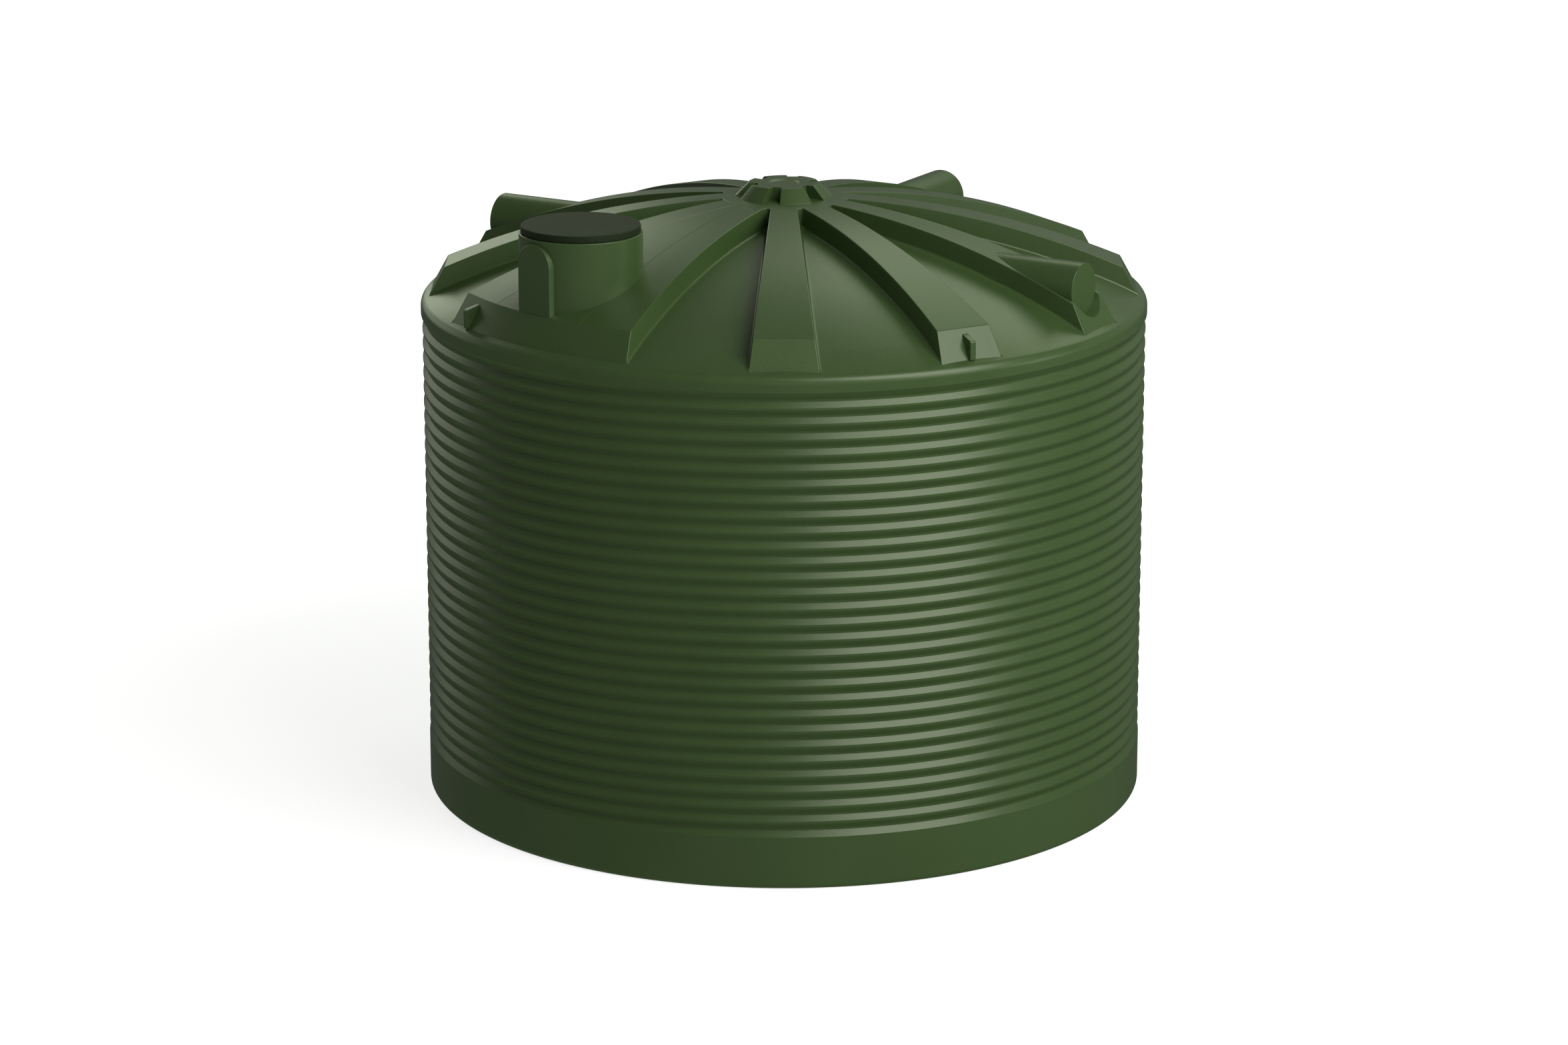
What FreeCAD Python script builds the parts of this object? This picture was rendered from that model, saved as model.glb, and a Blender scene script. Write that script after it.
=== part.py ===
import FreeCAD, Part
import math
import os
import Sketcher

# A round corrugated rainwater tank with a ribbed dome roof, moulded in polyethylene. The origin is the centre
# of the base, +Z is up and the front faces -Y. Pieces are built along +X and turned to their place, which is
# an angle from the front towards +X.

doc = FreeCAD.newDocument("water_tank")
sheet = doc.addObject("Spreadsheet::Sheet", "Sizes")
Z_AXIS = FreeCAD.Vector(0, 0, 1)
FRONT = -90


class Size:
    """A number worked out from cells of the sheet: its value now and the expression that gives it."""

    def __init__(self, value, text):
        self.value = value
        self.text = text

    def __add__(self, other):
        return combine(self, "+", other)

    def __sub__(self, other):
        return combine(self, "-", other)

    def __mul__(self, other):
        return combine(self, "*", other)

    def __truediv__(self, other):
        return combine(self, "/", other)

    def __neg__(self):
        return Size(-self.value, f"(-{self.text})")


def as_size(item):
    return item if isinstance(item, Size) else Size(float(item), str(item))


def combine(first, sign, second):
    first = as_size(first)
    second = as_size(second)
    value = {
        "+": lambda a, b: a + b,
        "-": lambda a, b: a - b,
        "*": lambda a, b: a * b,
        "/": lambda a, b: a / b,
    }[sign](first.value, second.value)
    return Size(value, f"({first.text} {sign} {second.text})")


def root(item):
    return Size(math.sqrt(item.value), f"sqrt({item.text})")


def tangent(angle):
    return Size(math.tan(math.radians(angle.value)), f"tan({angle.text})")


def cell(alias, value):
    """Put one driving size in the next row of the sheet."""
    cell.row += 1
    sheet.set(f"A{cell.row}", alias)
    sheet.set(f"B{cell.row}", str(value))
    sheet.setAlias(f"B{cell.row}", alias)
    return Size(float(value), f"Sizes.{alias}")


cell.row = 0
ZERO = as_size(0)

# Wall, in millimetres: radii at the crests, heights from the ground
crest_radius = cell("crest_radius", 1750)
wall_thickness = cell("wall_thickness", 8)
corrugation_depth = cell("corrugation_depth", 18.5)
corrugation_pitch = cell("corrugation_pitch", 72.8)
corrugation_slope = cell("corrugation_slope", 25.5)
valley_flat = cell("valley_flat", 11.3)
valley_count = cell("valley_count", 29)
first_valley_height = cell("first_valley_height", 290)
base_band_proud = cell("base_band_proud", 2.6)
base_edge_radius = cell("base_edge_radius", 28)
rim_band_proud = cell("rim_band_proud", 6)
rim_band_height = cell("rim_band_height", 120.6)
shoulder_radius = cell("shoulder_radius", 48)
wall_segments = cell("wall_segments", 8)

# Roof domes: rises above the rim and distances in from the wall
rib_dome_rise = cell("rib_dome_rise", 474)
rib_crease_rise = cell("rib_crease_rise", 143)
rib_crease_inset = cell("rib_crease_inset", 90.5)
rib_end_drop = cell("rib_end_drop", 23.5)
panel_dome_rise = cell("panel_dome_rise", 381)
panel_knee_rise = cell("panel_knee_rise", 76.7)
panel_knee_inset = cell("panel_knee_inset", 163.5)
panel_rim_drop = cell("panel_rim_drop", 9)

# Ribs: width at the axis and crown height, spreading outwards and downwards
rib_count = cell("rib_count", 12)
rib_half_width = cell("rib_half_width", 55.5)
rib_taper = cell("rib_taper", 1.47)
rib_draft = cell("rib_draft", 7.5)
rib_foot = cell("rib_foot", 34)
rib_cavity_setback = cell("rib_cavity_setback", 5.7)

# Crown and toothed hub
crown_radius = cell("crown_radius", 340)
hub_rise = cell("hub_rise", 57.5)
hub_base_radius = cell("hub_base_radius", 234)
hub_top_radius = cell("hub_top_radius", 171)
hub_dish_radius = cell("hub_dish_radius", 70)
hub_dish_depth = cell("hub_dish_depth", 8)
hub_notches = cell("hub_notches", 6)
hub_notch_angle = cell("hub_notch_angle", 20)
hub_notch_radius = cell("hub_notch_radius", 130)

# Access platform, neck, pad and lid
platform_crease_inset = cell("platform_crease_inset", 106)
neck_inset = cell("neck_inset", 393.5)
neck_radius = cell("neck_radius", 288)
neck_rise = cell("neck_rise", 491)
neck_edge_bevel = cell("neck_edge_bevel", 4)
neck_mouth_radius = cell("neck_mouth_radius", 225)
pad_face_inset = cell("pad_face_inset", 95)
pad_half_width = cell("pad_half_width", 106)
pad_rise = cell("pad_rise", 473)
lid_radius = cell("lid_radius", 279)
lid_height = cell("lid_height", 34)
lid_gap = cell("lid_gap", 3)
lid_thickness = cell("lid_thickness", 6)
lid_edge_bevel = cell("lid_edge_bevel", 4)

# Port stubs and lifting lugs
stub_radius = cell("stub_radius", 125)
stub_axis_rise = cell("stub_axis_rise", 185.4)
stub_face_inset = cell("stub_face_inset", 107)
lug_thickness = cell("lug_thickness", 30)
lug_clearance = cell("lug_clearance", 3.5)
lug_top_rise = cell("lug_top_rise", 119)
lug_nose_rise = cell("lug_nose_rise", 97)
lug_bottom_rise = cell("lug_bottom_rise", 9)
lug_eye_radius = cell("lug_eye_radius", 5)
lug_eye_inset = cell("lug_eye_inset", 20)
lug_eye_drop = cell("lug_eye_drop", 30)

# Sizes that follow from those: the plain inner face of the wall seats the floor and the roof
seat_radius = crest_radius - corrugation_depth - wall_thickness
base_radius = crest_radius + base_band_proud
rim_radius = crest_radius + rim_band_proud
last_valley_height = first_valley_height + corrugation_pitch * (valley_count - 1)
rim_height = last_valley_height + rim_band_height
rib_spacing = as_size(360) / rib_count


class Dome:
    """A round dome given by its height at the axis and one more point on it."""

    def __init__(self, apex, through_radius, through_height):
        fall = apex - through_height
        self.apex = apex
        self.radius = (through_radius * through_radius + fall * fall) / (fall * 2)

    def height(self, at, below=ZERO):
        """Height at a distance from the axis, on the dome or on one set in below it."""
        reach = self.radius - below
        return self.apex - self.radius + root(reach * reach - at * at)


rib_crease = seat_radius - rib_crease_inset
rib_dome = Dome(rim_height + rib_dome_rise, rib_crease, rim_height + rib_crease_rise)
panel_knee = seat_radius - panel_knee_inset
panel_dome = Dome(rim_height + panel_dome_rise, panel_knee, rim_height + panel_knee_rise)
rib_end_height = rim_height - rib_end_drop
rib_end_slope = (rim_height + rib_crease_rise - rib_end_height) / rib_crease_inset
rib_foot_at_crown = panel_dome.apex - rib_foot
hub_seat = rib_dome.height(hub_base_radius)
rib_foot_at_wall = rim_height - rib_foot
neck_offset = seat_radius - neck_inset
neck_height = rim_height + neck_rise


def bind(obj, **properties):
    for name, item in properties.items():
        obj.setExpression(name, as_size(item).text)


def origin_feature(body, role):
    return [item for item in body.Origin.OriginFeatures if item.Role == role][0]


def new_body(name):
    body = doc.addObject("PartDesign::Body", name)
    body.Label = name
    return body


class Outline:
    """A closed sketch through corners that are placed by sizes, with straight or round sides."""

    def __init__(self, body, name, plane, offset=ZERO):
        self.sketch = body.newObject("Sketcher::SketchObject", name)
        self.sketch.AttachmentSupport = [(origin_feature(body, plane), "")]
        self.sketch.MapMode = "FlatFace"
        self.sketch.setExpression("AttachmentOffset.Base.z", offset.text)

    def place(self, item, point, across=None, up=None):
        for kind, axis, wanted in (("DistanceX", -2, across), ("DistanceY", -1, up)):
            if wanted is None:
                continue
            if abs(wanted.value) < 1e-9:
                self.sketch.addConstraint(Sketcher.Constraint("PointOnObject", item, point, axis))
                continue
            index = self.sketch.addConstraint(Sketcher.Constraint(kind, -1, 1, item, point, wanted.value))
            self.sketch.setExpression(f"Constraints[{index}]", wanted.text)

    def radius(self, item, wanted):
        index = self.sketch.addConstraint(Sketcher.Constraint("Radius", item, wanted.value))
        self.sketch.setExpression(f"Constraints[{index}]", wanted.text)

    def draw(self, corners, arcs=None):
        """Sides between corners in turn; arcs maps a side's number to its rule.

        A rule is axis (centred on the upright axis), level with a height, or round with a radius and the
        side of travel, +1 left or -1 right, on which the centre lies.
        """
        arcs = arcs or {}
        spots = [FreeCAD.Vector(across.value, up.value, 0) for across, up in corners]
        count = len(corners)
        begins = []
        for side in range(count):
            start = spots[side]
            end = spots[(side + 1) % count]
            if side not in arcs:
                self.sketch.addGeometry(Part.LineSegment(start, end))
                begins.append(1)
                continue
            begins.append(self.add_arc(start, end, arcs[side]))
        for side in range(count):
            after = (side + 1) % count
            self.sketch.addConstraint(
                Sketcher.Constraint("Coincident", side, 3 - begins[side], after, begins[after]))
            self.place(side, begins[side], *corners[side])
        for side, rule in arcs.items():
            if rule[0] == "axis":
                self.place(side, 3, across=ZERO)
            elif rule[0] == "level":
                self.place(side, 3, up=rule[1])
            else:
                self.radius(side, rule[1])
        return self.sketch

    def add_arc(self, start, end, rule):
        """Add one arc and say which of its ends, 1 or 2, is the start of travel."""
        middle = (start + end) * 0.5
        along = end - start
        if rule[0] == "axis":
            up = (end.dot(end) - start.dot(start)) / (2 * along.y)
            centre = FreeCAD.Vector(0, up, 0)
        elif rule[0] == "level":
            centre = FreeCAD.Vector(middle.x, rule[1].value, 0)
        else:
            left = FreeCAD.Vector(-along.y, along.x, 0)
            left.normalize()
            away = math.sqrt(max(rule[1].value ** 2 - along.Length ** 2 / 4, 0))
            centre = middle + left * away * rule[2]
        first, last = start - centre, end - centre
        anticlockwise = first.cross(last).z > 0 or rule[0] == "level"
        if not anticlockwise:
            first, last = last, first
        circle = Part.Circle(centre, Z_AXIS, first.Length)
        angles = (math.atan2(first.y, first.x), math.atan2(last.y, last.x))
        self.sketch.addGeometry(Part.ArcOfCircle(circle, *angles))
        return 1 if anticlockwise else 2


def revolve(body, sketch, angle=as_size(360), feature="Revolution"):
    turn = body.newObject(f"PartDesign::{feature}", f"{sketch.Name}_{feature.lower()}")
    turn.Profile = sketch
    turn.ReferenceAxis = (origin_feature(body, "Z_Axis"), [""])
    turn.Midplane = True
    bind(turn, Angle=angle)
    return turn


def pad(body, sketch, length, midplane=True):
    block = body.newObject("PartDesign::Pad", f"{sketch.Name}_pad")
    block.Profile = sketch
    block.Midplane = midplane
    block.Reversed = not midplane
    bind(block, Length=length)
    return block


def pocket_through(body, sketch):
    hole = body.newObject("PartDesign::Pocket", f"{sketch.Name}_pocket")
    hole.Profile = sketch
    hole.Type = "ThroughAll"
    hole.Midplane = True
    return hole


def boolean(kind, name, base, *tools):
    """Cut, Fuse or Common of one object with others, one after another."""
    for index, tool in enumerate(tools, start=1):
        step = doc.addObject(f"Part::{kind}", name if index == len(tools) else f"{name}_{index}")
        step.Base = base
        step.Tool = tool
        base = step
    return base


def turned(name, piece, angle):
    """The same piece again, turned about the tank's axis and following the first."""
    link = doc.addObject("App::Link", name)
    link.LinkedObject = piece
    link.LinkTransform = True
    link.Label = name
    link.Placement = FreeCAD.Placement(FreeCAD.Vector(), FreeCAD.Rotation(Z_AXIS, angle))
    return link


def cylinder(name, radius, height, base, offset=ZERO):
    """Upright cylinder from a height, with its axis an offset along +X."""
    piece = doc.addObject("Part::Cylinder", name)
    bind(piece, Radius=radius, Height=height)
    piece.setExpression("Placement.Base.x", offset.text)
    piece.setExpression("Placement.Base.z", base.text)
    return piece


def port_cylinder(name, radius, start, end):
    """Cylinder that lies along +X on the axis of the stubs."""
    piece = cylinder(name, radius, end - start, rim_height + stub_axis_rise, start)
    piece.Placement.Rotation = FreeCAD.Rotation(FreeCAD.Vector(0, 1, 0), 90)
    return piece


# Wall: one eighth, turned about the axis from a plain profile, with one valley cut and repeated upwards
def make_wall_segment():
    body = new_body("wall_segment_form")
    angle = as_size(360) / wall_segments
    shoulder_centre = rim_radius - shoulder_radius
    shoulder_reach = seat_radius - shoulder_centre
    shoulder_fall = root(shoulder_radius * shoulder_radius - shoulder_reach * shoulder_reach)
    profile = Outline(body, "wall_profile", "XZ_Plane").draw([
        (seat_radius, ZERO),
        (base_radius - base_edge_radius, ZERO),
        (base_radius, base_edge_radius),
        (base_radius, first_valley_height),
        (crest_radius, first_valley_height),
        (crest_radius, last_valley_height),
        (rim_radius, last_valley_height),
        (rim_radius, rim_height - shoulder_fall),
        (seat_radius, rim_height),
    ], {1: ("round", base_edge_radius, 1), 7: ("round", shoulder_radius, 1)})
    revolve(body, profile, angle)
    clear_radius = rim_radius + rim_band_proud
    valley_radius = crest_radius - corrugation_depth
    half_flat = valley_flat / 2
    half_mouth = half_flat + corrugation_slope * (clear_radius - valley_radius) / corrugation_depth
    valley = Outline(body, "wall_valley", "XZ_Plane").draw([
        (clear_radius, first_valley_height - half_mouth),
        (clear_radius, first_valley_height + half_mouth),
        (valley_radius, first_valley_height + half_flat),
        (valley_radius, first_valley_height - half_flat),
    ])
    groove = revolve(body, valley, angle, "Groove")
    doc.recompute()
    corrugation = body.newObject("PartDesign::LinearPattern", "wall_corrugation")
    corrugation.Originals = [groove]
    corrugation.Direction = (origin_feature(body, "Z_Axis"), [""])
    bind(corrugation, Length=corrugation_pitch * (valley_count - 1), Occurrences=valley_count)
    body.Tip = corrugation
    return body


# Rib: a long profile under the dome, between two drafted sides that spread towards the wall. The cavity is
# the same form set in by the wall's thickness and open below.
def make_profile(name, crease_inset, inset, setback, extra_foot, width):
    body = new_body(name)
    start = crown_radius - wall_thickness * 5
    crease = seat_radius - crease_inset
    crease_height = rib_dome.height(crease)
    slope = (crease_height - rib_end_height) / crease_inset
    end = seat_radius + wall_thickness
    inner_crease = crease - setback
    inner_height = rib_dome.height(inner_crease, inset)
    side = Outline(body, f"{name}_side", "XZ_Plane").draw([
        (start, rib_dome.height(start, inset)),
        (inner_crease, inner_height),
        (end, inner_height - slope * (end - inner_crease)),
        (end, rib_foot_at_wall - extra_foot),
        (start, rib_foot_at_crown - extra_foot),
    ], {0: ("axis",), 3: ("axis",)})
    pad(body, side, width)
    return body


def make_taper(name, inset, extra_foot):
    """Drafted block, narrow at the axis, that a rib's two sides are cut to."""
    body = new_body(name)
    high = rib_dome.apex + wall_thickness
    low = rib_foot_at_wall - extra_foot - wall_thickness * 2
    sections = []
    for place, along in (("crown", ZERO), ("wall", seat_radius + wall_thickness * 2)):
        middle = rib_half_width + along * tangent(rib_taper) - inset
        half_high = middle + (rib_dome.apex - high) * tangent(rib_draft)
        half_low = middle + (rib_dome.apex - low) * tangent(rib_draft)
        sections.append(Outline(body, f"{name}_{place}", "YZ_Plane", along).draw([
            (-half_low, low),
            (half_low, low),
            (half_high, high),
            (-half_high, high),
        ]))
    loft = body.newObject("PartDesign::AdditiveLoft", f"{name}_loft")
    loft.Profile = sections[0]
    loft.Sections = sections[1:]
    loft.Ruled = True
    return body


def make_rib_form(name, inset, setback, extra_foot):
    width = rib_half_width * 10
    profile = make_profile(f"{name}_profile", rib_crease_inset, inset, setback, extra_foot, width)
    block = make_taper(f"{name}_block", inset, extra_foot)
    return boolean("Common", name, profile, block, roof_space), block


deep_foot = wall_thickness * 40
roof_space = cylinder("roof_space", seat_radius, rib_dome.apex, ZERO)
crown_space = cylinder("crown_space", crown_radius, rib_dome.apex * 2, ZERO)
rib_form, rib_block = make_rib_form("rib_form", ZERO, ZERO, ZERO)
rib_cavity, cavity_block = make_rib_form("rib_cavity", wall_thickness, rib_cavity_setback, deep_foot)
rib = boolean("Cut", "rib", rib_form, rib_cavity, crown_space)


# Panel: a thin domed sector that rolls down to the wall, trimmed to the ribs on its two sides
def make_panel():
    body = new_body("panel_sector")
    knee_height = rim_height + panel_knee_rise
    edge_height = rim_height - panel_rim_drop
    across = panel_knee_inset
    fall = knee_height - edge_height
    knee_reach = knee_height - panel_dome.apex + panel_dome.radius
    inward = (fall * knee_reach - across * panel_knee) / panel_dome.radius
    roll_radius = (across * across + fall * fall) / (inward * 2)
    profile = Outline(body, "panel_profile", "XZ_Plane").draw([
        (crown_radius, panel_dome.height(crown_radius)),
        (panel_knee, knee_height),
        (seat_radius, edge_height),
        (seat_radius, edge_height - wall_thickness),
        (panel_knee, knee_height - wall_thickness),
        (crown_radius, panel_dome.height(crown_radius) - wall_thickness),
    ], {
        0: ("axis",),
        1: ("round", roll_radius, -1),
        3: ("round", roll_radius, 1),
        4: ("axis",),
    })
    revolve(body, profile, rib_spacing)
    half = rib_spacing.value / 2
    sides = [turned(f"panel_side_{k}", rib_block, turn) for k, turn in enumerate((-half, half))]
    return boolean("Cut", "panel", body, *sides)


# Crown: the disc where the ribs meet, with a flat seat for the hub and a skirt down to the panels. The hub is
# a turned boss with notches cut round its edge and a shallow dish on top.
def make_crown():
    body = new_body("crown_form")
    inner = crown_radius - wall_thickness
    edge = rib_dome.height(crown_radius)
    profile = Outline(body, "crown_profile", "XZ_Plane").draw([
        (ZERO, edge - wall_thickness),
        (inner, edge - wall_thickness),
        (inner, rib_foot_at_crown),
        (crown_radius, rib_foot_at_crown),
        (crown_radius, edge),
        (hub_base_radius, hub_seat),
        (ZERO, hub_seat),
    ])
    revolve(body, profile)
    return body


def make_hub():
    body = new_body("hub_form")
    top = rib_dome.apex + hub_rise
    profile = Outline(body, "hub_profile", "XZ_Plane").draw([
        (ZERO, hub_seat),
        (hub_base_radius, hub_seat),
        (hub_top_radius, top),
        (hub_dish_radius, top),
        (ZERO, top - hub_dish_depth),
    ])
    revolve(body, profile)
    out = hub_base_radius + wall_thickness
    widening = tangent(hub_notch_angle / 2)
    notch = Outline(body, "hub_notch", "XY_Plane").draw([
        (hub_notch_radius, -(hub_notch_radius * widening)),
        (out, -(out * widening)),
        (out, out * widening),
        (hub_notch_radius, hub_notch_radius * widening),
    ])
    first = pocket_through(body, notch)
    doc.recompute()
    ring = body.newObject("PartDesign::PolarPattern", "hub_notch_ring")
    ring.Originals = [first]
    ring.Axis = (origin_feature(body, "Z_Axis"), [""])
    ring.Angle = 360
    bind(ring, Occurrences=hub_notches)
    body.Tip = ring
    return body


# Access: a platform moulded from two ribs and a raised panel between them, a neck that stands in it, a flat
# arched pad on the neck's outer side and a lift-off lid
def make_access():
    half = rib_spacing.value / 2
    width = seat_radius * tangent(rib_spacing / 2) * 2
    solids = []
    for name, rib_piece, block, inset, setback, foot in (
            ("platform_form", rib_form, rib_block, ZERO, ZERO, ZERO),
            ("platform_cavity", rib_cavity, cavity_block, wall_thickness, rib_cavity_setback, deep_foot)):
        middle = make_profile(f"{name}_middle", platform_crease_inset, inset, setback, foot, width)
        sector = cylinder(f"{name}_sector", seat_radius, rib_dome.apex, ZERO)
        bind(sector, Angle=rib_spacing)
        sector.Placement.Rotation = FreeCAD.Rotation(Z_AXIS, -half)
        wedge = boolean("Common", f"{name}_wedge", middle, sector)
        edges = [turned(f"{name}_edge_{k}", block, turn) for k, turn in enumerate((-half, half))]
        between = boolean("Cut", f"{name}_between", wedge, *edges)
        sides = [turned(f"{name}_rib_{k}", rib_piece, turn) for k, turn in enumerate((-half, half))]
        solids.append(boolean("Fuse", name, between, *sides))
    form, cavity = solids
    core = cylinder("neck_core", neck_radius, neck_height, ZERO, neck_offset)
    platform = boolean("Cut", "platform", form, cavity, crown_space, core)

    tube = new_body("neck_tube")
    inner = neck_radius - wall_thickness
    profile = Outline(tube, "neck_profile", "XZ_Plane").draw([
        (neck_radius, rim_height),
        (neck_radius, neck_height - neck_edge_bevel),
        (neck_radius - neck_edge_bevel, neck_height),
        (neck_mouth_radius, neck_height),
        (neck_mouth_radius, neck_height - wall_thickness),
        (inner, neck_height - wall_thickness),
        (inner, rim_height),
    ])
    revolve(tube, profile)
    tube.setExpression("Placement.Base.x", neck_offset.text)
    neck = boolean("Cut", "neck", tube, cavity)

    block = new_body("pad_block")
    face = seat_radius - pad_face_inset
    spring = rim_height + pad_rise - pad_half_width
    bottom = rim_height + rib_crease_rise / 2
    arch = Outline(block, "pad_arch", "YZ_Plane", face).draw([
        (-pad_half_width, bottom),
        (pad_half_width, bottom),
        (pad_half_width, spring),
        (-pad_half_width, spring),
    ], {2: ("level", spring)})
    pad(block, arch, face - neck_offset, midplane=False)
    flat_pad = boolean("Cut", "pad", block, core, form)

    cap = new_body("lid_form")
    top = neck_height + lid_height
    ring = lid_radius - lid_thickness
    profile = Outline(cap, "lid_profile", "XZ_Plane").draw([
        (ZERO, top - lid_thickness),
        (ring - lid_thickness, top - lid_thickness),
        (ring - lid_thickness, neck_height),
        (ring, neck_height),
        (ring, neck_height + lid_gap),
        (lid_radius, neck_height + lid_gap),
        (lid_radius, top - lid_edge_bevel),
        (lid_radius - lid_edge_bevel, top),
        (ZERO, top),
    ])
    revolve(cap, profile)
    cap.setExpression("Placement.Base.x", neck_offset.text)
    return platform, neck, flat_pad, cap


# Port: a round boss that lies along a rib and breaks out of its top, with a flat outer face. It is moulded only
# above the rib's cavity. The rib's end is cut back to the face, and a cup in the cut closes the rib again.
def make_port():
    face = seat_radius - stub_face_inset
    back = face - wall_thickness
    beyond = seat_radius + wall_thickness
    inner_dome = rib_dome.radius - wall_thickness
    top_reach = rim_height + stub_axis_rise + stub_radius - rib_dome.apex + rib_dome.radius
    start = root(inner_dome * inner_dome - top_reach * top_reach) - wall_thickness
    outside = port_cylinder("port_outside", stub_radius, start, face)
    inside = port_cylinder("port_inside", stub_radius - wall_thickness, start, back)
    bulge = boolean("Cut", "port_bulge", outside, doc.getObject("rib_cavity_profile"))
    blister = boolean("Cut", "port_blister", bulge, inside)
    cup_outside = port_cylinder("port_cup_outside", stub_radius + wall_thickness, back, beyond)
    cup_inside = port_cylinder("port_cup_inside", stub_radius, face, beyond)
    cup_solid = boolean("Cut", "port_cup_solid", cup_outside, cup_inside)
    cup = boolean("Common", "port_cup", cup_solid, rib_form)
    disc = port_cylinder("port_disc", stub_radius, back, face)
    stub = boolean("Fuse", "port_stub", blister, disc, cup)
    port_rib = boolean("Cut", "port_rib", rib, bulge, cup_outside)
    return stub, port_rib


# Lug: a fin with an eye, standing on the sloped end face of a rib
def make_lug():
    body = new_body("lug_form")
    nose = seat_radius - lug_clearance
    crease_height = rim_height + rib_crease_rise
    top = rim_height + lug_top_rise
    bottom = rim_height + lug_bottom_rise
    fin = Outline(body, "lug_fin", "XZ_Plane").draw([
        (rib_crease + (crease_height - bottom) / rib_end_slope, bottom),
        (nose, bottom),
        (nose, rim_height + lug_nose_rise),
        (rib_crease + (crease_height - top) / rib_end_slope, top),
    ])
    pad(body, fin, lug_thickness)
    doc.recompute()
    eye = Outline(body, "lug_eye", "XZ_Plane")
    centre = FreeCAD.Vector((nose - lug_eye_inset).value, (rim_height + lug_nose_rise - lug_eye_drop).value, 0)
    eye.sketch.addGeometry(Part.Circle(centre, Z_AXIS, lug_eye_radius.value))
    eye.place(0, 3, nose - lug_eye_inset, rim_height + lug_nose_rise - lug_eye_drop)
    eye.radius(0, lug_eye_radius)
    pocket_through(body, eye.sketch)
    return body


wall = make_wall_segment()
panel = make_panel()
crown = make_crown()
hub = make_hub()
platform, neck, flat_pad, lid = make_access()
stub, port_rib = make_port()
lug = make_lug()

# Nodes in their places. Counting from the front, every third rib is plain, the next carries a lug and the
# next a port; the last two make the access platform.
nodes = []


def node(name, piece, angle):
    nodes.append(turned(name, piece, angle + FRONT))


node("tank_floor", cylinder("floor_form", seat_radius, wall_thickness, ZERO), 0)
segment_total = int(wall_segments.value)
for k in range(segment_total):
    node(f"wall_segment_{k + 1}", wall, (k + 0.5) * 360 / segment_total)

spacing = rib_spacing.value
ribs_total = int(rib_count.value)
platform_angle = (ribs_total - 1.5) * spacing
for k in range(ribs_total):
    angle = k * spacing
    kind = ("plain", "lug", "port")[k % 3]
    in_platform = k >= ribs_total - 2
    if not in_platform:
        node(f"roof_rib_{k + 1}", port_rib if kind == "port" else rib, angle)
    if kind == "port" and not in_platform:
        node(f"port_stub_{k + 1}", stub, angle)
    if kind == "lug":
        node(f"lifting_lug_{k + 1}", lug, angle)
    if k != ribs_total - 2:
        node(f"roof_panel_{k + 1}", panel, angle + spacing / 2)

node("roof_crown", crown, 0)
node("hub_cap", hub, -spacing / 2)
node("access_platform", platform, platform_angle)
node("access_neck", neck, platform_angle)
node("neck_pad", flat_pad, platform_angle)
node("access_lid", lid, platform_angle)

doc.recompute()
for item in doc.Objects:
    if "Invalid" in item.State or "Error" in item.State:
        raise RuntimeError(f"{item.Label} failed: {item.State}")
os.makedirs("parts", exist_ok=True)
for item in nodes:
    shape = Part.getShape(item)
    if shape.isNull() or not shape.isValid():
        raise RuntimeError(f"{item.Label} has no sound shape")
    shape.exportStep(f"parts/{item.Label}.step")
    print(f"{item.Label}: {len(shape.Solids)} solid, {shape.Volume / 1e9:.5f} m3")
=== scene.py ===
import math

import bmesh
import bpy
from mathutils import Matrix, Vector


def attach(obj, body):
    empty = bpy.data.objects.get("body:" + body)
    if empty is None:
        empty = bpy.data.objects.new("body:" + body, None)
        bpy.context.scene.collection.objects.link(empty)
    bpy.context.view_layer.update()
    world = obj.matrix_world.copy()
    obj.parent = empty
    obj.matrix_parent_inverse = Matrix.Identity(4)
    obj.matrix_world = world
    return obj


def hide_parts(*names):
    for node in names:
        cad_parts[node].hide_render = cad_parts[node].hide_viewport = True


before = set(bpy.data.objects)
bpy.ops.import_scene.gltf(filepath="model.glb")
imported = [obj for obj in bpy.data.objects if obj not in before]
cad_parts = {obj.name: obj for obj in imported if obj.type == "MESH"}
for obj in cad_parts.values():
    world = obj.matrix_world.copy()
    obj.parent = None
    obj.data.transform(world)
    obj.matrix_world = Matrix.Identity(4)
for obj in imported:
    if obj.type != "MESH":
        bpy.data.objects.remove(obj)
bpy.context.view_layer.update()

# Wall: the tank's side, one seamless skin of green polyethylene turned in a hot mould. A plain band stands
# at the base, rolled corrugations stiffen the side, and a rounded rim at the top carries the roof.
seat_radius = 1.7235
valley_radius = 1.7315
crest_radius = 1.7500
base_radius = 1.7526
rim_radius = 1.7560
base_edge = 0.028
first_valley = 0.290
valley_pitch = 0.0728
valley_count = 29
valley_half_flat = 0.00565
valley_slope = 0.0255 / 0.0185
fold_round = 0.0012
shoulder_radius = 0.048
shoulder_steps = 10
rim_height = 2.449
rim_lip = (1.698, 2.4626)
wall_steps = 192
same_place = 1e-5
close_by = 1e-4
hair = 0.001


def draw_line(name, points):
    """Begin a piece as one point and draw it on through the others. It stays open in edit mode."""
    bpy.ops.object.select_all(action="DESELECT")
    bpy.ops.mesh.primitive_plane_add(size=0.1, location=points[0])
    piece = bpy.context.object
    piece.name = name
    bpy.ops.object.transform_apply(location=True)
    bpy.ops.object.mode_set(mode="EDIT")
    bpy.ops.mesh.select_mode(type="VERT")
    bpy.ops.mesh.select_all(action="SELECT")
    bpy.ops.mesh.merge(type="CENTER")
    for start, end in zip(points, points[1:]):
        step = Vector(end) - Vector(start)
        bpy.ops.mesh.extrude_vertices_move(TRANSFORM_OT_translate={"value": step})
    return piece


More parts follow.
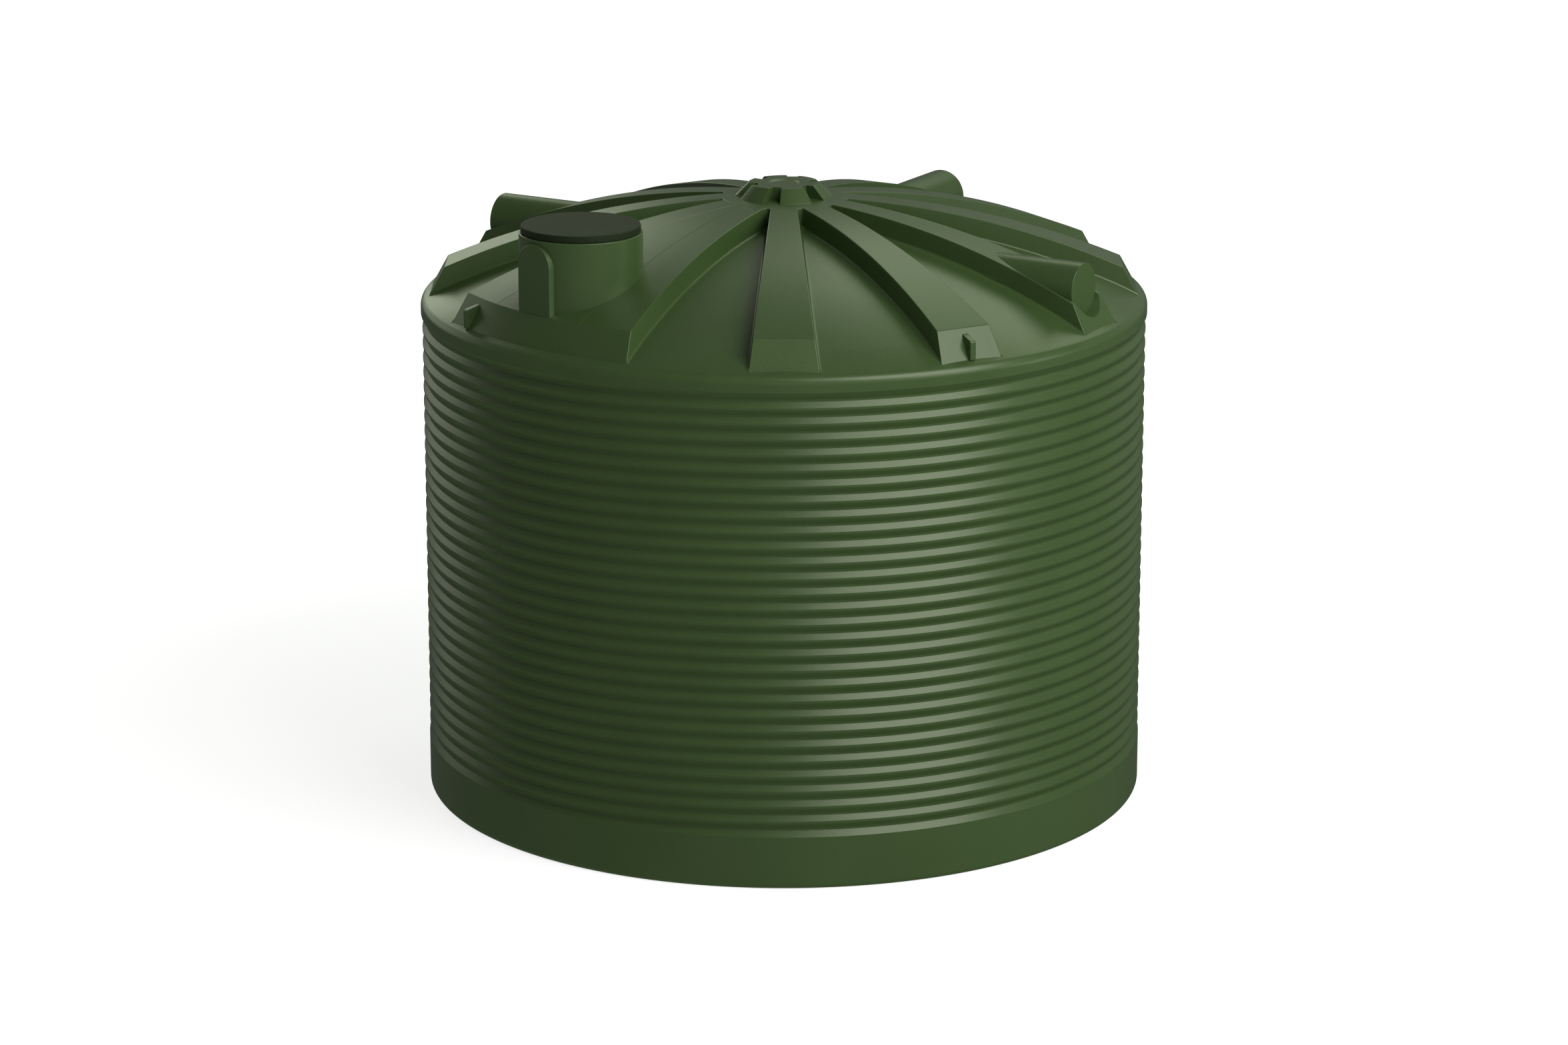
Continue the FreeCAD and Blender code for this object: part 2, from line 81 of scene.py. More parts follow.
def pick(piece, kind, wanted):
    """Select the points, edges or faces that are wanted, and nothing else."""
    bpy.ops.mesh.select_mode(type=kind)
    bpy.ops.mesh.select_all(action="DESELECT")
    mesh = bmesh.from_edit_mesh(piece.data)
    for item in {"VERT": mesh.verts, "EDGE": mesh.edges, "FACE": mesh.faces}[kind]:
        if wanted(item):
            item.select_set(True)
    mesh.select_flush_mode()
    bmesh.update_edit_mesh(piece.data)


def round_corners(piece, wanted, reach, segments):
    """Round the corners of a drawn line, each over a reach along its two sides."""
    pick(piece, "VERT", wanted)
    bpy.ops.mesh.bevel(affect="VERTICES", offset=reach, segments=segments, profile=0.5)


def join_points(apart=same_place):
    """Make one point of those that lie on each other."""
    bpy.ops.mesh.select_all(action="SELECT")
    bpy.ops.mesh.remove_doubles(threshold=apart)


def face_outwards():
    bpy.ops.mesh.select_all(action="SELECT")
    bpy.ops.mesh.normals_make_consistent(inside=False)


def turn(piece, steps, angle=math.tau, centre=(0, 0, 0)):
    """Turn a drawn line about an upright axis into a skin."""
    bpy.ops.mesh.select_all(action="SELECT")
    bpy.ops.mesh.spin(steps=steps, angle=angle, center=centre, axis=(0, 0, 1))
    join_points()
    face_outwards()


def only(piece):
    """Select one piece alone, for the next step to work on."""
    bpy.ops.object.select_all(action="DESELECT")
    piece.select_set(True)
    bpy.context.view_layer.objects.active = piece


def apply_modifier(piece, kind, **settings):
    only(piece)
    modifier = piece.modifiers.new(kind.lower(), kind)
    for name, value in settings.items():
        setattr(modifier, name, value)
    bpy.ops.object.modifier_apply(modifier=modifier.name)


def shade(piece, crease=35):
    """Smooth shading, with flats kept flat and edges sharper than the crease angle kept sharp."""
    only(piece)
    bpy.ops.object.shade_smooth_by_angle(angle=math.radians(crease))
    apply_modifier(piece, "WEIGHTED_NORMAL", keep_sharp=True)


def arc(centre, radius, start, end, steps):
    """Points along an arc in the XZ plane, from one angle to another, both ends included."""
    angles = [start + (end - start) * k / steps for k in range(steps + 1)]
    return [(centre[0] + radius * math.cos(a), 0, centre[1] + radius * math.sin(a)) for a in angles]


def slope_end(radius, way):
    """Height from a valley's middle at which its side reaches a radius, up or down."""
    return way * (valley_half_flat + valley_slope * (radius - valley_radius))


last_valley = first_valley + valley_pitch * (valley_count - 1)
base_top = first_valley + slope_end(base_radius, -1)
rim_start = last_valley + slope_end(rim_radius, 1)
wall_line = [(seat_radius, 0, 0), (base_radius, 0, 0), (base_radius, 0, base_top)]
for k in range(valley_count):
    middle = first_valley + valley_pitch * k
    if k > 0:
        wall_line.append((crest_radius, 0, middle + slope_end(crest_radius, -1)))
    wall_line.append((valley_radius, 0, middle - valley_half_flat))
    wall_line.append((valley_radius, 0, middle + valley_half_flat))
    if k < valley_count - 1:
        wall_line.append((crest_radius, 0, middle + slope_end(crest_radius, 1)))
wall_line.append((rim_radius, 0, rim_start))
shoulder_reach = seat_radius - rim_radius + shoulder_radius
shoulder_angle = math.acos(shoulder_reach / shoulder_radius)
shoulder_centre = (rim_radius - shoulder_radius, rim_height - shoulder_radius * math.sin(shoulder_angle))
wall_line += arc(shoulder_centre, shoulder_radius, 0, shoulder_angle, shoulder_steps)
wall_line += [
    (rim_lip[0], 0, rim_lip[1]),
    (rim_lip[0], 0, shoulder_centre[1]),
    (seat_radius, 0, shoulder_centre[1]),
    wall_line[0],
]

wall = draw_line("moulded_wall", wall_line)
join_points()
field_low = base_top - hair
field_high = rim_start + hair
round_corners(wall, lambda v: field_low < v.co.z < field_high and v.co.x > seat_radius + hair,
              fold_round, segments=2)
round_corners(wall, lambda v: v.co.z < hair and v.co.x > seat_radius + hair, base_edge, segments=7)
turn(wall, wall_steps)
bpy.ops.object.mode_set(mode="OBJECT")
shade(wall)


def add_node(tree, kind, **inputs):
    """A node with some of its sockets set by name."""
    node = tree.nodes.new(kind)
    for name, value in inputs.items():
        node.inputs[name.replace("_", " ")].default_value = value
    return node


# The skin of the moulding, shared by every green piece and the lid: a fine pebble from the mould, a slow
# orange peel where the melt has settled, and faint clouds of colour and polish.
noise_details = {"Pebble": 2.0, "Peel": 1.0, "Cloud": 4.0}
noise_roughness = 0.55
peel_share = 0.7
skin = bpy.data.node_groups.new("moulded_skin", "ShaderNodeTree")
for label in noise_details:
    skin.interface.new_socket(f"{label} Scale", in_out="INPUT", socket_type="NodeSocketFloat")
for label in ("Cloud", "Speck", "Relief"):
    skin.interface.new_socket(label, in_out="OUTPUT", socket_type="NodeSocketFloat")
skin_in = skin.nodes.new("NodeGroupInput")
skin_out = skin.nodes.new("NodeGroupOutput")
skin_place = skin.nodes.new("ShaderNodeTexCoord")
skin_noises = {}
for label, detail in noise_details.items():
    noise = add_node(skin, "ShaderNodeTexNoise", Detail=detail, Roughness=noise_roughness)
    skin.links.new(skin_place.outputs["Object"], noise.inputs["Vector"])
    skin.links.new(skin_in.outputs[f"{label} Scale"], noise.inputs["Scale"])
    skin_noises[label] = noise.outputs["Fac"]
skin.links.new(skin_noises["Cloud"], skin_out.inputs["Cloud"])
skin.links.new(skin_noises["Pebble"], skin_out.inputs["Speck"])
relief = skin.nodes.new("ShaderNodeMath")
relief.operation = "MULTIPLY_ADD"
relief.inputs[1].default_value = peel_share
skin.links.new(skin_noises["Peel"], relief.inputs[0])
skin.links.new(skin_noises["Pebble"], relief.inputs[2])
skin.links.new(relief.outputs[0], skin_out.inputs["Relief"])

sheen_tint = (0.95, 1.0, 0.82, 1)
tone_range = (0.32, 0.68)
polish_range = (0.3, 0.7)
relief_strength = 0.35


def moulded_plastic(name, deep, pale, polish, relief_depth, scales, speck_share, ior=1.5):
    """Polyethylene between two tones and two polishes, with the moulded skin's relief."""
    material = bpy.data.materials.new(name)
    material.use_nodes = True
    tree = material.node_tree
    shader = tree.nodes["Principled BSDF"]
    shader.inputs["IOR"].default_value = ior
    shader.inputs["Specular Tint"].default_value = sheen_tint
    texture = tree.nodes.new("ShaderNodeGroup")
    texture.node_tree = skin
    for label, value in scales.items():
        texture.inputs[label].default_value = value
    blend = tree.nodes.new("ShaderNodeMix")
    blend.inputs["Factor"].default_value = speck_share
    tree.links.new(texture.outputs["Cloud"], blend.inputs["A"])
    tree.links.new(texture.outputs["Speck"], blend.inputs["B"])
    tone = tree.nodes.new("ShaderNodeValToRGB")
    for stop, position, colour in zip(tone.color_ramp.elements, tone_range, (deep, pale)):
        stop.position = position
        stop.color = (*colour, 1)
    tree.links.new(blend.outputs["Result"], tone.inputs["Fac"])
    tree.links.new(tone.outputs["Color"], shader.inputs["Base Color"])
    gloss = add_node(tree, "ShaderNodeMapRange", From_Min=polish_range[0], From_Max=polish_range[1],
                     To_Min=polish[0], To_Max=polish[1])
    tree.links.new(blend.outputs["Result"], gloss.inputs["Value"])
    tree.links.new(gloss.outputs["Result"], shader.inputs["Roughness"])
    bump = add_node(tree, "ShaderNodeBump", Strength=relief_strength, Distance=relief_depth)
    tree.links.new(texture.outputs["Relief"], bump.inputs["Height"])
    tree.links.new(bump.outputs["Normal"], shader.inputs["Normal"])
    return material


tank_green = moulded_plastic(
    "tank_green", deep=(0.052, 0.095, 0.0285), pale=(0.059, 0.108, 0.0325), polish=(0.28, 0.34),
    relief_depth=0.0010, scales={"Pebble Scale": 240.0, "Peel Scale": 46.0, "Cloud Scale": 2.2},
    speck_share=0.35)


def dress(piece, slot, material, *nodes):
    """Give a finished piece its material and its body, and hide the nodes that it stands for."""
    piece.data.materials.clear()
    piece.data.materials.append(material)
    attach(piece, "root")
    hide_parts(*nodes)


dress(wall, "tank_green", tank_green, *[f"wall_segment_{k}" for k in range(1, 9)])

# Floor: the flat round bottom that the tank stands on, of the same green polyethylene. It is moulded in one
# with the wall and hidden under it, so the plain solid stays and only takes the tank's material.
floor_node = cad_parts["tank_floor"]
floor_node.data.materials.clear()
floor_node.data.materials.append(tank_green)

# Roof panels: thin sunk skins of green polyethylene between the ribs, moulded in one with them. Each is a
# piece of one shallow dome that rolls down to the rim and turns up into the ribs along a small fillet.
crown_radius = 0.302
panel_apex = 2.830
panel_knee = (1.560, 2.5257)
panel_edge = (1.7275, 2.4478)
panel_tuck = 0.004
panel_steps = 18
roll_steps = 10
sector_steps = 24
skin_thickness = 0.008
foot_fillet = 0.013
fillet_steps = 4
fillet_facing = 0.15
rib_apex = 2.923
rib_crease = (1.633, 2.592)
rib_end = (seat_radius, 2.4255)
rib_half_width = 0.0555
rib_taper = math.tan(math.radians(1.47))
rib_draft_angle = math.radians(7.5)
rib_draft = math.tan(rib_draft_angle)
rib_pitch = 30
rib_angle = math.radians(rib_pitch / 2)


def dome_radius(apex, through):
    """Radius of a dome with its top at a height, through one point of its section."""
    fall = apex - through[1]
    return (through[0] ** 2 + fall ** 2) / (2 * fall)


def dome_height(apex, radius, at):
    """Height of a dome at a distance from the tank's axis."""
    return apex - radius + math.sqrt(radius ** 2 - at ** 2)


def about_axis(point, angle):
    return Matrix.Rotation(angle, 3, "Z") @ Vector(point)


def extrude_edges(move):
    """Draw the selected edges on into a strip of faces."""
    bpy.ops.mesh.extrude_edges_move(TRANSFORM_OT_translate={"value": move})


panel_radius = dome_radius(panel_apex, panel_knee)
rib_radius = dome_radius(rib_apex, rib_crease)
end_direction = Vector((rib_end[0] - rib_crease[0], 0, rib_end[1] - rib_crease[1])).normalized()
end_normal = Vector((-end_direction.z, 0, end_direction.x))

knee_out = Vector((panel_knee[0], panel_knee[1] - panel_apex + panel_radius)) / panel_radius
across = Vector(panel_edge) - Vector(panel_knee)
roll_radius = -across.length_squared / (2 * across.dot(knee_out))
roll_centre = Vector(panel_knee) - knee_out * roll_radius
roll_end = Vector(panel_edge) - roll_centre
panel_start = crown_radius - panel_tuck
start_height = dome_height(panel_apex, panel_radius, panel_start)
panel_line = [(panel_start, 0, start_height)]
for k in range(1, panel_steps + 1):
    along = panel_start + (panel_knee[0] - panel_start) * k / panel_steps
    panel_line.append((along, 0, dome_height(panel_apex, panel_radius, along)))
panel_line += arc(roll_centre, roll_radius, math.atan2(knee_out.y, knee_out.x),
                  math.atan2(roll_end.y, roll_end.x), roll_steps)[1:]

panel = draw_line("panel_form", [about_axis(point, rib_angle) for point in panel_line])
turn(panel, sector_steps, 2 * rib_angle)
turn_up = math.pi / 2 - rib_draft_angle
bends = [turn_up * k / fillet_steps for k in range(fillet_steps + 1)]
for side in (-1, 1):
    to_rib = about_axis((0, side, 0), side * rib_angle)
    wall_normal = about_axis((-rib_taper, -side, rib_draft), side * rib_angle).normalized()
    wall_foot = about_axis((0, -side * rib_half_width, rib_apex), side * rib_angle)
    fillet_start = wall_foot - to_rib * foot_fillet * math.tan(turn_up / 2)
    end_place = about_axis((rib_crease[0], 0, rib_crease[1]), side * rib_angle)
    end_out = about_axis(end_normal, side * rib_angle)
    bpy.ops.mesh.select_all(action="SELECT")
    bpy.ops.mesh.bisect(plane_co=end_place, plane_no=end_out)
    pick(panel, "FACE", lambda f: (f.calc_center_median() - end_place).dot(end_out) > 0)
    bpy.ops.mesh.split()
    bpy.ops.mesh.bisect(plane_co=wall_foot, plane_no=wall_normal, clear_inner=True)
    pick(panel, "FACE", lambda f: (f.calc_center_median() - end_place).dot(end_out) < 0)
    bpy.ops.mesh.bisect(plane_co=fillet_start, plane_no=wall_normal, clear_inner=True)
    for before, after in zip(bends, bends[1:]):
        sideways = to_rib * (math.sin(after) - math.sin(before))
        upwards = Vector((0, 0, math.cos(before) - math.cos(after)))
        extrude_edges((sideways + upwards) * foot_fillet)
    pick(panel, "FACE", lambda f: abs(f.normal.dot(to_rib)) > fillet_facing)
    bpy.ops.mesh.bisect(plane_co=end_place, plane_no=end_out, clear_outer=True)
join_points()
face_outwards()
bpy.ops.object.mode_set(mode="OBJECT")

# The panel's upper end: a rounded hollow in the same skin, moulded between the two ribs. It touches both and
# opens upwards to the crown's edge.
corner_web = 0.030
corner_edge = 0.004
corner_sunk = 0.001
corner_below = 0.004
corner_steps = 12
wall_angle = rib_angle - math.atan(rib_taper)
corner_top = dome_height(rib_apex, rib_radius, crown_radius) - corner_sunk
corner_bottom = start_height - corner_below


def corner_hollow(height):
    """Centre and radius of the hollow at a height, where it touches both ribs and the crown's edge."""
    half_width = rib_half_width + rib_draft * (rib_apex - height)
    centre = (crown_radius - half_width) / (1 - math.sin(wall_angle))
    return centre, centre - crown_radius


low_centre, low_radius = corner_hollow(corner_bottom)
high_centre, high_radius = corner_hollow(corner_top)
corner_line = []
for k in range(corner_steps + 1):
    angle = math.pi / 2 + wall_angle + (math.pi - 2 * wall_angle) * k / corner_steps
    along = low_centre + low_radius * math.cos(angle)
    corner_line.append((along, low_radius * math.sin(angle), corner_bottom))
corner = draw_line("corner_form", corner_line)
bpy.ops.mesh.select_all(action="SELECT")
extrude_edges((high_centre - low_centre, 0, corner_top - corner_bottom))
bpy.ops.transform.resize(value=(high_radius / low_radius, high_radius / low_radius, 1),
                         center_override=(high_centre, 0, corner_top))
extrude_edges((-corner_web, 0, corner_web * crown_radius / rib_radius))
pick(corner, "EDGE", lambda e: all(abs(v.co.z - corner_top) < same_place for v in e.verts))
bpy.ops.mesh.bevel(offset=corner_edge, segments=3)
face_outwards()
bpy.ops.object.mode_set(mode="OBJECT")

# The hollow's floor: a small ramp in the same skin that closes the narrow foot between the two ribs. Its
# sides end inside them, and it runs out just below the panel's surface.
ramp_end = 0.376
ramp_rise = 0.018
ramp_sink = 0.001
ramp_half_widths = (0.008, 0.025)
ramp_top = start_height + ramp_rise
ramp_foot = dome_height(panel_apex, panel_radius, ramp_end) - ramp_sink
ramp = draw_line("ramp_form", [(panel_start, side * ramp_half_widths[0], ramp_top) for side in (-1, 1)])
bpy.ops.mesh.select_all(action="SELECT")
extrude_edges((ramp_end - panel_start, 0, ramp_foot - ramp_top))
bpy.ops.transform.resize(value=(1, ramp_half_widths[1] / ramp_half_widths[0], 1))
bpy.ops.object.mode_set(mode="OBJECT")
only(panel)
corner.select_set(True)
ramp.select_set(True)
bpy.ops.object.join()
apply_modifier(panel, "SOLIDIFY", thickness=skin_thickness, offset=-1)
shade(panel, crease=40)


def copy_of(form, name):
    """A copy of a form with a mesh of its own."""
    only(form)
    bpy.ops.object.duplicate()
    piece = bpy.context.object
    piece.name = name
    return piece


def place(form, name, degrees, *nodes, slot="tank_green", material=tank_green):
    """Copy a form built along +X to its place, an angle from the front towards +X."""
    piece = copy_of(form, name)
    piece.rotation_euler.z = math.radians(degrees - 90)
    bpy.ops.object.transform_apply(rotation=True)
    dress(piece, slot, material, *nodes)


for k in (1, 2, 3, 4, 5, 6, 7, 8, 9, 10, 12):
    place(panel, f"sunk_panel_{k}", rib_pitch * (k - 0.5), f"roof_panel_{k}")
bpy.data.objects.remove(panel)

# Ribs: hollow box ribs of green polyethylene, moulded up out of the roof. They are flat on top, with drafted
# sides that widen towards the rim and a sloped end, and their edges are only just rounded.
rib_start = 0.262
rib_foot = 0.034
rib_end_drop = 0.010
rib_top_steps = 24
rib_foot_steps = 8
block_half_width = 0.3
edge_round = 0.004


def rib_outline():
    """The long section of a rib, under the dome to a crease and down a sloped end to the rim."""
    line = []
    for k in range(rib_top_steps + 1):
        along = rib_start + (rib_crease[0] - rib_start) * k / rib_top_steps
        line.append((along, 0, dome_height(rib_apex, rib_radius, along)))
    line.append((rib_end[0], 0, rib_end[1]))
    line.append((rib_end[0], 0, rib_end[1] - rib_end_drop))
    for k in range(rib_foot_steps + 1):
        along = panel_knee[0] + (rib_start - panel_knee[0]) * k / rib_foot_steps
        line.append((along, 0, dome_height(panel_apex, panel_radius, along) - rib_foot))
    return line


def fill_outline():
    bpy.ops.mesh.select_all(action="SELECT")
    bpy.ops.mesh.edge_face_add()


def extrude_both_ways(half_width):
    """Make a block of a filled outline, evenly to both sides of its plane."""
    bpy.ops.mesh.select_all(action="SELECT")
    bpy.ops.transform.translate(value=(0, -half_width, 0))
    bpy.ops.mesh.extrude_region_move(TRANSFORM_OT_translate={"value": (0, 2 * half_width, 0)})
    face_outwards()


def soften(piece, width=edge_round, segments=3, sharper_than=20):
    """Round the edges that are sharper than an angle."""
    apply_modifier(piece, "BEVEL", width=width, segments=segments, limit_method="ANGLE",
                   angle_limit=math.radians(sharper_than))


rib = draw_line("rib_form", rib_outline())
fill_outline()
extrude_both_ways(block_half_width)
for side in (-1, 1):
    bpy.ops.mesh.select_all(action="SELECT")
    bpy.ops.mesh.bisect(plane_co=(0, side * rib_half_width, rib_apex),
                        plane_no=(-rib_taper, side, rib_draft), clear_outer=True, use_fill=True)
bpy.ops.object.mode_set(mode="OBJECT")
soften(rib)
shade(rib)
for k in (1, 2, 4, 5, 7, 8, 10):
    place(rib, f"box_rib_{k}", rib_pitch * (k - 1), f"roof_rib_{k}")

# Ports: round bosses of green polyethylene, moulded along every third rib so that they break out of its top.
# A flat outer face takes a pipe fitting once it is drilled, and the rib's end is scooped out in line with it.
port_radius = 0.125
port_height = 2.6344
port_face = 1.6165
port_start = 1.100
port_face_round = 0.003
port_back_inset = 0.02
port_sides = 96
scoop_start = port_face - hair
scoop_end = seat_radius + 0.05
facing_back = -0.9


def round_bar(name, sides, radius, length, middle, turned=(0, 0, 0)):
    """A round bar about a middle point, upright or turned."""
    bpy.ops.object.select_all(action="DESELECT")
    bpy.ops.mesh.primitive_cylinder_add(vertices=sides, radius=radius, depth=length, location=middle,
                                        rotation=turned)
    bar = bpy.context.object
    bar.name = name
    bpy.ops.object.transform_apply(location=True, rotation=True)
    return bar


def port_bar(name, start, end):
    """A round bar along +X on the port's axis."""
    return round_bar(name, port_sides, port_radius, end - start, ((start + end) / 2, 0, port_height),
                     (0, math.pi / 2, 0))


def cut(piece, tool):
    """Cut a piece with a tool that is then thrown away."""
    apply_modifier(piece, "BOOLEAN", object=tool, operation="DIFFERENCE", solver="EXACT")
    bpy.data.objects.remove(tool)


boss = port_bar("boss_form", port_start, port_face)
bpy.ops.object.mode_set(mode="EDIT")
pick(boss, "EDGE", lambda e: all(v.co.x > port_face - close_by for v in e.verts))
bpy.ops.mesh.bevel(offset=port_face_round, segments=3)
pick(boss, "FACE", lambda f: f.normal.x < facing_back)
bpy.ops.mesh.inset(thickness=port_back_inset)
bpy.ops.object.mode_set(mode="OBJECT")
shade(boss)

# The rib under a port starts as a copy of the plain one. Its shading is cleared before the cut, so that the
# new edges are marked sharp and the scoop shows no light step along them.
port_rib = copy_of(rib, "port_rib_form")
bpy.ops.mesh.customdata_custom_splitnormals_clear()
cut(port_rib, port_bar("scoop", scoop_start, scoop_end))
shade(port_rib)
for k in (3, 6, 9):
    place(port_rib, f"box_rib_{k}", rib_pitch * (k - 1), f"roof_rib_{k}")
    place(boss, f"port_boss_{k}", rib_pitch * (k - 1), f"port_stub_{k}")
for form in (rib, port_rib, boss):
    bpy.data.objects.remove(form)

# Crown and hub: the round top of green polyethylene where the ribs meet, a disc with a skirt down to the
# panels. The toothed hub is moulded in one with it, with notches between its teeth and a shallow dish on top.
crown_bottom = 2.796
crown_rings = 8
round_steps = 144
hub_seat_radius = 0.234
hub_top_radius = 0.171
hub_top = 2.9805
hub_bottom = 2.895
hub_round = 0.003
notch_radius = 0.130
notch_half_angle = 10
notch_pitch = 60
first_notch = -15
notch_drop = 0.05
dish_radius = 0.070
dish_depth = 0.006
dish_half_slope = 0.008
dish_round = 0.006

crown_line = []
for k in range(crown_rings + 1):
    along = crown_radius * k / crown_rings
    crown_line.append((along, 0, dome_height(rib_apex, rib_radius, along)))
crown_line.append((crown_radius, 0, crown_bottom))
crown = draw_line("crown_disc", crown_line)
round_corners(crown, lambda v: v.co.x > crown_radius - close_by and v.co.z > crown_bottom + close_by,
              edge_round, segments=3)
turn(crown, round_steps)
bpy.ops.object.mode_set(mode="OBJECT")
apply_modifier(crown, "SOLIDIFY", thickness=skin_thickness, offset=-1)
shade(crown)
dress(crown, "tank_green", tank_green, "roof_crown")

hub = draw_line("toothed_hub", [
    (0, 0, hub_top - dish_depth),
    (dish_radius - dish_half_slope, 0, hub_top - dish_depth),
    (dish_radius + dish_half_slope, 0, hub_top),
    (notch_radius, 0, hub_top),
    (hub_top_radius, 0, hub_top),
    (hub_seat_radius, 0, dome_height(rib_apex, rib_radius, hub_seat_radius)),
    (hub_seat_radius, 0, hub_bottom),
])
round_corners(hub, lambda v: abs(v.co.x - dish_radius) < dish_half_slope + hair, dish_round, segments=3)
turn(hub, round_steps)


def in_notch(face):
    """Whether a face lies between two teeth, outside the round that they stand on."""
    middle = face.calc_center_median()
    past = math.degrees(math.atan2(middle.x, -middle.y)) - first_notch
    from_notch = abs((past + notch_pitch / 2) % notch_pitch - notch_pitch / 2)
    return middle.xy.length > notch_radius + close_by and from_notch < notch_half_angle


pick(hub, "FACE", in_notch)
bpy.ops.mesh.delete(type="FACE")
pick(hub, "EDGE", lambda e: e.is_boundary and not all(v.co.z < hub_bottom + close_by for v in e.verts))
extrude_edges((0, 0, -notch_drop))
bpy.ops.transform.resize(value=(1, 1, 0), center_override=(0, 0, hub_bottom))
join_points()
pick(hub, "EDGE", lambda e: e.is_boundary)
bpy.ops.mesh.edge_face_add()
face_outwards()
bpy.ops.object.mode_set(mode="OBJECT")
soften(hub, hub_round, segments=2, sharper_than=30)
shade(hub)
dress(hub, "tank_green", tank_green, "hub_cap")

# Access platform: two ribs and a raised panel of green polyethylene, moulded as one step for the manhole.
# Its sloped end follows the rim, a fine crease shows where the panel meets each rib, and a round hole opens
# under the neck.
platform_angle = 315
crown_overlap = 0.002
crease_reach = 0.0015
crease_depth = 0.003
neck_reach = 1.330
neck_radius = 0.288
hole_bottom = 2.2
hole_top = 3.1
hole_sides = 128
face_up = 0.8
point_up = 0.7

platform_line = [about_axis(point, rib_angle) for point in rib_outline()]
platform_line[0].z -= crown_overlap
platform = draw_line("platform_form", platform_line + platform_line[:1])
join_points()
turn(platform, sector_steps, 2 * rib_angle)
for side in (-1, 1):
    outwards = about_axis((0, side, 0), side * rib_angle)
    pick(platform, "EDGE",
         lambda e: e.is_boundary and all(abs(v.co.dot(outwards)) < same_place for v in e.verts))
    extrude_edges(outwards * block_half_width)
for side in (-1, 1):
    bpy.ops.mesh.select_all(action="SELECT")
    bpy.ops.mesh.bisect(plane_co=about_axis((0, side * rib_half_width, rib_apex), side * rib_angle),
                        plane_no=about_axis((-rib_taper, side, rib_draft), side * rib_angle),
                        clear_outer=True, use_fill=True)
face_outwards()
bpy.ops.object.mode_set(mode="OBJECT")
soften(platform)


def neck_bar(name):
    """An upright round bar that fills the neck, for the cuts that make room for it."""
    return round_bar(name, hole_sides, neck_radius - skin_thickness / 2, hole_top - hole_bottom,
                     (neck_reach, 0, (hole_top + hole_bottom) / 2))


cut(platform, neck_bar("neck_hole"))
bpy.ops.object.mode_set(mode="EDIT")
for side in (-1, 1):
    crease_place = about_axis((0, -side * rib_half_width, rib_apex), side * rib_angle)
    crease_normal = about_axis((-rib_taper, -side, rib_draft), side * rib_angle).normalized()
    pick(platform, "FACE", lambda f: f.normal.z > face_up)
    bpy.ops.mesh.bisect(plane_co=crease_place, plane_no=crease_normal)
    bpy.ops.mesh.bevel(offset=crease_reach, segments=2)
    pick(platform, "VERT",
         lambda v: v.normal.z > point_up and abs((v.co - crease_place).dot(crease_normal)) < same_place)
    bpy.ops.transform.translate(value=(0, 0, -crease_depth))
bpy.ops.object.mode_set(mode="OBJECT")
shade(platform)
place(platform, "raised_platform", platform_angle, "access_platform")
bpy.data.objects.remove(platform)

# Neck: the round manhole collar that stands in the platform, a thin wall of the same green polyethylene. It
# is moulded in one with the platform, and an inward lip at its top carries the lid.
neck_top = 2.940
neck_bottom = 2.500
neck_round = 0.005
mouth_radius = 0.225
neck_outside = neck_reach + neck_radius
neck_inside = neck_outside - skin_thickness
mouth_edge = neck_reach + mouth_radius

neck = draw_line("neck_form", [
    (neck_outside, 0, neck_bottom),
    (neck_outside, 0, neck_top),
    (mouth_edge, 0, neck_top),
    (mouth_edge, 0, neck_top - skin_thickness),
    (neck_inside, 0, neck_top - skin_thickness),
    (neck_inside, 0, neck_bottom),
    (neck_outside, 0, neck_bottom),
])
join_points()
round_corners(neck, lambda v: v.co.z > neck_top - close_by and v.co.x > neck_outside - close_by,
              neck_round, segments=4)
turn(neck, round_steps, centre=(neck_reach, 0, 0))
bpy.ops.object.mode_set(mode="OBJECT")
shade(neck)
place(neck, "manhole_neck", platform_angle, "access_neck")
bpy.data.objects.remove(neck)

# Pad: a flat arched face of green polyethylene on the outer side of the neck. It is moulded in one with the
# neck and gives an overflow fitting a flat seat.
pad_face = 1.6285
pad_half_width = 0.106
pad_top = 2.922
pad_bottom = 2.520
pad_back = 1.560
arch_steps = 16
arch_join = 5e-4

pad = draw_line("pad_form", [
    (pad_face, -pad_half_width, pad_bottom),
    (pad_face, pad_half_width, pad_bottom),
    (pad_face, pad_half_width, pad_top),
    (pad_face, -pad_half_width, pad_top),
])
fill_outline()
round_corners(pad, lambda v: v.co.z > pad_top - close_by, pad_half_width - close_by, arch_steps)
join_points(arch_join)
bpy.ops.mesh.select_all(action="SELECT")
bpy.ops.mesh.extrude_region_move(TRANSFORM_OT_translate={"value": (pad_back - pad_face, 0, 0)})
face_outwards()
pick(pad, "EDGE", lambda e: all(v.co.x > pad_face - close_by for v in e.verts))
bpy.ops.mesh.bevel(offset=edge_round, segments=3)
bpy.ops.object.mode_set(mode="OBJECT")
cut(pad, neck_bar("neck_core"))
shade(pad)
place(pad, "arched_pad", platform_angle, "neck_pad")
bpy.data.objects.remove(pad)

# Lid: a lift-off manhole cover moulded in dark green-black plastic with a grained top. It drops into the
# neck's mouth and rests on the lip, with a thin shadow gap below its rim.
lid_radius = 0.279
lid_top = 2.974
lid_gap = 0.003
lid_skirt = 0.218
lid_skirt_drop = 0.020
lid_border = 0.016
lid_wall = 0.006
lid_round = 0.005
lid_low_round = 0.002
lid_outside = neck_reach + lid_radius
skirt_outside = neck_reach + lid_skirt
rim_bottom = neck_top + lid_gap

